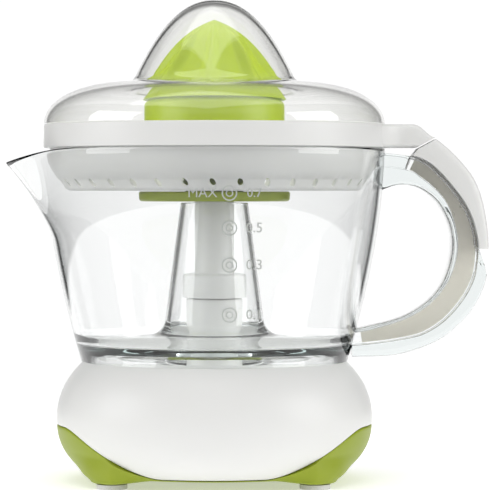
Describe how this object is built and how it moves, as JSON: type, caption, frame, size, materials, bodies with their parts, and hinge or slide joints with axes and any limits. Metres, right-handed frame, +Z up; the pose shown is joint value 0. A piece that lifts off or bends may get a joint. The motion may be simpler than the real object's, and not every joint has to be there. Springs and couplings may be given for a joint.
{
  "type": "citrus press juicer",
  "caption": "Electric citrus press: motor base, clear jug with lip and closed handle, strainer, reaming cone and clear dust cover.",
  "frame": {"origin": "on the floor under the middle of the juicer's length and depth; the drive axis stands 14.1 mm towards the spout from it", "axes": "+Z up along the drive axis, +X from the spout towards the handle, -Y the front with the scale marks"},
  "size_m": [0.2146, 0.1518, 0.2134],
  "materials": {
    "clear_cover": "clear moulded styrene-acrylonitrile, slightly smoky",
    "clear_jug": "clear moulded styrene-acrylonitrile with blue-green edges",
    "white_plastic": "satin moulded ABS",
    "green_plastic": "lime green moulded ABS",
    "olive_plastic": "yellow-green moulded ABS",
    "rubber": "pale grey soft rubber",
    "black_plastic": "black moulded nylon",
    "nylon": "natural acetal",
    "steel": "turned and plated steel",
    "brass": "sintered bronze and turned brass",
    "iron_laminations": "stamped electrical steel",
    "copper_wire": "enamelled copper winding under tape"
  },
  "bodies": {
    "base": {"motor_housing": "white_plastic", "base_skirt": "olive_plastic", "foot_1": "rubber", "foot_2": "rubber", "foot_3": "rubber", "foot_4": "rubber", "base_screw_1": "steel", "base_screw_2": "steel", "base_screw_3": "steel", "base_screw_4": "steel", "cord_gland": "black_plastic", "cord_clamp": "nylon", "terminal_block": "nylon", "stator_core": "iron_laminations", "stator_coil": "copper_wire", "motor_bridge_upper": "steel", "motor_bridge_lower": "steel", "motor_screw_1": "steel", "motor_screw_2": "steel", "gearbox_plate": "steel", "plate_screw_1": "steel", "plate_screw_2": "steel", "plate_screw_3": "steel", "idler_pin": "steel", "shaft_bush_upper": "brass", "shaft_bush_lower": "brass", "micro_switch": "black_plastic"},
    "motor_rotor": {"rotor": "iron_laminations", "motor_shaft": "steel", "motor_pinion": "brass"},
    "idler": {"idler_gear": "nylon"},
    "last_gear": {"output_gear": "nylon"},
    "drive": {"drive_shaft": "steel", "drive_spindle": "white_plastic", "spring_clip": "steel", "return_spring": "steel"},
    "plunger": {"switch_plunger": "nylon"},
    "cone": {"reamer_cone": "green_plastic"},
    "jug_body": {"jug": "clear_jug", "handle_cover": "white_plastic"},
    "strainer_body": {"strainer": "white_plastic"},
    "regulator": {"pulp_regulator": "olive_plastic"},
    "cover": {"dust_cover": "clear_cover"}
  },
  "joints": [
    {"name": "cone_spin", "type": "hinge", "parent": "base", "child": "last_gear", "pos_m": [-0.0141, 0, 0.034], "axis": [0, 0, 1], "continuous": true},
    {"name": "idler_spin", "type": "hinge", "parent": "base", "child": "idler", "pos_m": [0.00865, 0.01956, 0.03], "axis": [0, 0, 1], "continuous": true},
    {"name": "motor_spin", "type": "hinge", "parent": "base", "child": "motor_rotor", "pos_m": [0.0139, 0, 0.02], "axis": [0, 0, 1], "continuous": true},
    {"name": "cone_press", "type": "slide", "parent": "last_gear", "child": "drive", "axis": [0, 0, 1], "range_m": [-0.0025, 0], "stiffness_N_per_m": 2000, "springref_m": 0.003, "deforming": ["return_spring"]},
    {"name": "switch_press", "type": "slide", "parent": "base", "child": "plunger", "axis": [0, 0, 1], "range_m": [-0.0025, 0]},
    {"name": "cone_lift", "type": "slide", "parent": "drive", "child": "cone", "axis": [0, 0, 1], "range_m": [0, 0.112]},
    {"name": "jug_lift", "type": "slide", "parent": "base", "child": "jug_body", "axis": [0, 0, 1], "range_m": [0, 0.07]},
    {"name": "strainer_lift", "type": "slide", "parent": "jug_body", "child": "strainer_body", "axis": [0, 0, 1], "range_m": [0, 0.042]},
    {"name": "regulator_turn", "type": "hinge", "parent": "strainer_body", "child": "regulator", "pos_m": [-0.0141, 0, 0.126], "axis": [0, 0, 1], "range_deg": [0, 30]},
    {"name": "cover_lift", "type": "slide", "parent": "strainer_body", "child": "cover", "axis": [0, 0, 1], "range_m": [0, 0.09]}
  ],
  "couplings": [
    {"joint": "idler_spin", "follows": "cone_spin", "ratio": -4},
    {"joint": "motor_spin", "follows": "cone_spin", "ratio": 16},
    {"joint": "switch_press", "follows": "cone_press", "ratio": 1},
    {"joint": "cone_lift", "follows": "jug_lift", "ratio": 1.6},
    {"joint": "strainer_lift", "follows": "jug_lift", "ratio": 0.6}
  ]
}
